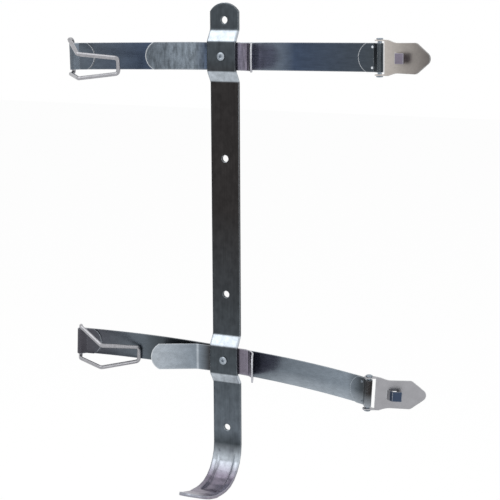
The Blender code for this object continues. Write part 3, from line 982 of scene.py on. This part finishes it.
@dataclass
class Studio:
    """The pale floor, the soft lamps and the camera at the photograph's angle."""

    camera_place: Tuple[float, float, float] = (0.5546, -1.1682, 0.2235)
    camera_target: Tuple[float, float, float] = (0.0252, 0.0, -0.0381)
    camera_roll_deg: float = -0.21
    lens_mm: float = 95.1
    floor_height: float = -0.53
    floor_side: float = 12.0
    floor_glow: float = 0.8
    softboxes: Tuple[Softbox, ...] = (
        Softbox("key_softbox", (-0.9, -1.3, 1.3), 1.2, 6.0),
        Softbox("top_softbox", (-0.45, -0.35, 1.3), 0.9, 2.6),
        Softbox("side_softbox", (1.5, -0.6, 0.4), 0.8, 3.0),
    )

    def build(self) -> None:
        """Makes the floor, the world, the lamps and the camera."""
        self._floor()
        self._world()
        for box in self.softboxes:
            self._lamp(box)
        self._camera()

    def _floor(self) -> None:
        """Lays a wide pale floor that shows white to the camera and keeps a faint shadow."""
        mesh = bpy.data.meshes.new("studio_floor")
        form = bmesh.new()
        bmesh.ops.create_grid(
            form,
            x_segments=1,
            y_segments=1,
            size=self.floor_side / 2.0,
            matrix=Matrix.Translation((0.0, 0.0, self.floor_height)),
        )
        form.to_mesh(mesh)
        form.free()
        floor = bpy.data.objects.new("studio_floor", mesh)
        bpy.context.scene.collection.objects.link(floor)
        material, tree = new_material("matt_white_paper_floor")
        path = add_node(tree, "ShaderNodeLightPath")
        seen = add_node(
            tree,
            "ShaderNodeMath",
            {"operation": "MAXIMUM"},
            {0: path.outputs["Is Camera Ray"], 1: path.outputs["Is Glossy Ray"]},
        )
        share = add_node(
            tree,
            "ShaderNodeMath",
            {"operation": "MULTIPLY"},
            {0: seen.outputs[0], 1: self.floor_glow},
        )
        paper = add_node(
            tree, "ShaderNodeBsdfDiffuse", inputs={"Color": srgb("#f4f4f4")}
        )
        glow = add_node(
            tree, "ShaderNodeEmission", inputs={"Color": srgb("#ffffff"), "Strength": 1.0}
        )
        mix = add_node(
            tree,
            "ShaderNodeMixShader",
            inputs={0: share.outputs[0], 1: paper.outputs[0], 2: glow.outputs[0]},
        )
        add_node(tree, "ShaderNodeOutputMaterial", inputs={"Surface": mix.outputs[0]})
        mesh.materials.append(material)

    def _world(self) -> None:
        """Makes an even pale surrounding that shows white to the camera and in the metal."""
        world = bpy.data.worlds.new("studio_world")
        bpy.context.scene.world = world
        world.use_nodes = True
        tree = world.node_tree
        tree.nodes.clear()
        path = add_node(tree, "ShaderNodeLightPath")
        seen = add_node(
            tree,
            "ShaderNodeMath",
            {"operation": "MAXIMUM"},
            {0: path.outputs["Is Camera Ray"], 1: path.outputs["Is Glossy Ray"]},
        )
        fill = add_node(
            tree,
            "ShaderNodeBackground",
            inputs={"Color": srgb("#ffffff"), "Strength": 1.0},
        )
        white = add_node(
            tree,
            "ShaderNodeBackground",
            inputs={"Color": srgb("#ffffff"), "Strength": 1.0},
        )
        mix = add_node(
            tree,
            "ShaderNodeMixShader",
            inputs={0: seen.outputs[0], 1: fill.outputs[0], 2: white.outputs[0]},
        )
        add_node(tree, "ShaderNodeOutputWorld", inputs={"Surface": mix.outputs[0]})

    def _lamp(self, box: Softbox) -> None:
        """Hangs a soft lamp that faces the bracket.

        Args:
            box: The lamp's name, place, side and power.
        """
        data = bpy.data.lights.new(box.name, "AREA")
        data.shape = "SQUARE"
        data.size = box.side
        data.energy = box.power
        lamp = bpy.data.objects.new(box.name, data)
        bpy.context.scene.collection.objects.link(lamp)
        aim = Vector(self.camera_target) - Vector(box.place)
        turn = aim.to_track_quat("-Z", "Y").to_matrix().to_4x4()
        lamp.matrix_world = Matrix.Translation(box.place) @ turn

    def _camera(self) -> None:
        """Sets the camera at the photograph's place and lens."""
        data = bpy.data.cameras.new("photo_camera")
        data.lens = self.lens_mm
        camera = bpy.data.objects.new("photo_camera", data)
        bpy.context.scene.collection.objects.link(camera)
        aim = Vector(self.camera_target) - Vector(self.camera_place)
        turn = aim.to_track_quat("-Z", "Y").to_matrix().to_4x4()
        roll = Matrix.Rotation(math.radians(self.camera_roll_deg), 4, "Z")
        camera.matrix_world = Matrix.Translation(self.camera_place) @ turn @ roll
        bpy.context.scene.camera = camera


def main() -> None:
    """Dresses every sub-assembly in order and sets up the studio."""
    logging.basicConfig(level=logging.INFO)
    finishes = Finishes()
    Backbone(finishes).build()
    upper = (finishes.upper_band, finishes.upper_lever, finishes.upper_weld)
    lower = (finishes.lower_band, finishes.lower_lever, finishes.lower_weld)
    Arm("upper", finishes, *upper).build()
    Arm("lower", finishes, *lower).build()
    Studio().build()
    bpy.context.scene.view_settings.view_transform = "Standard"


if __name__ == "__main__":
    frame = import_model()
    main()
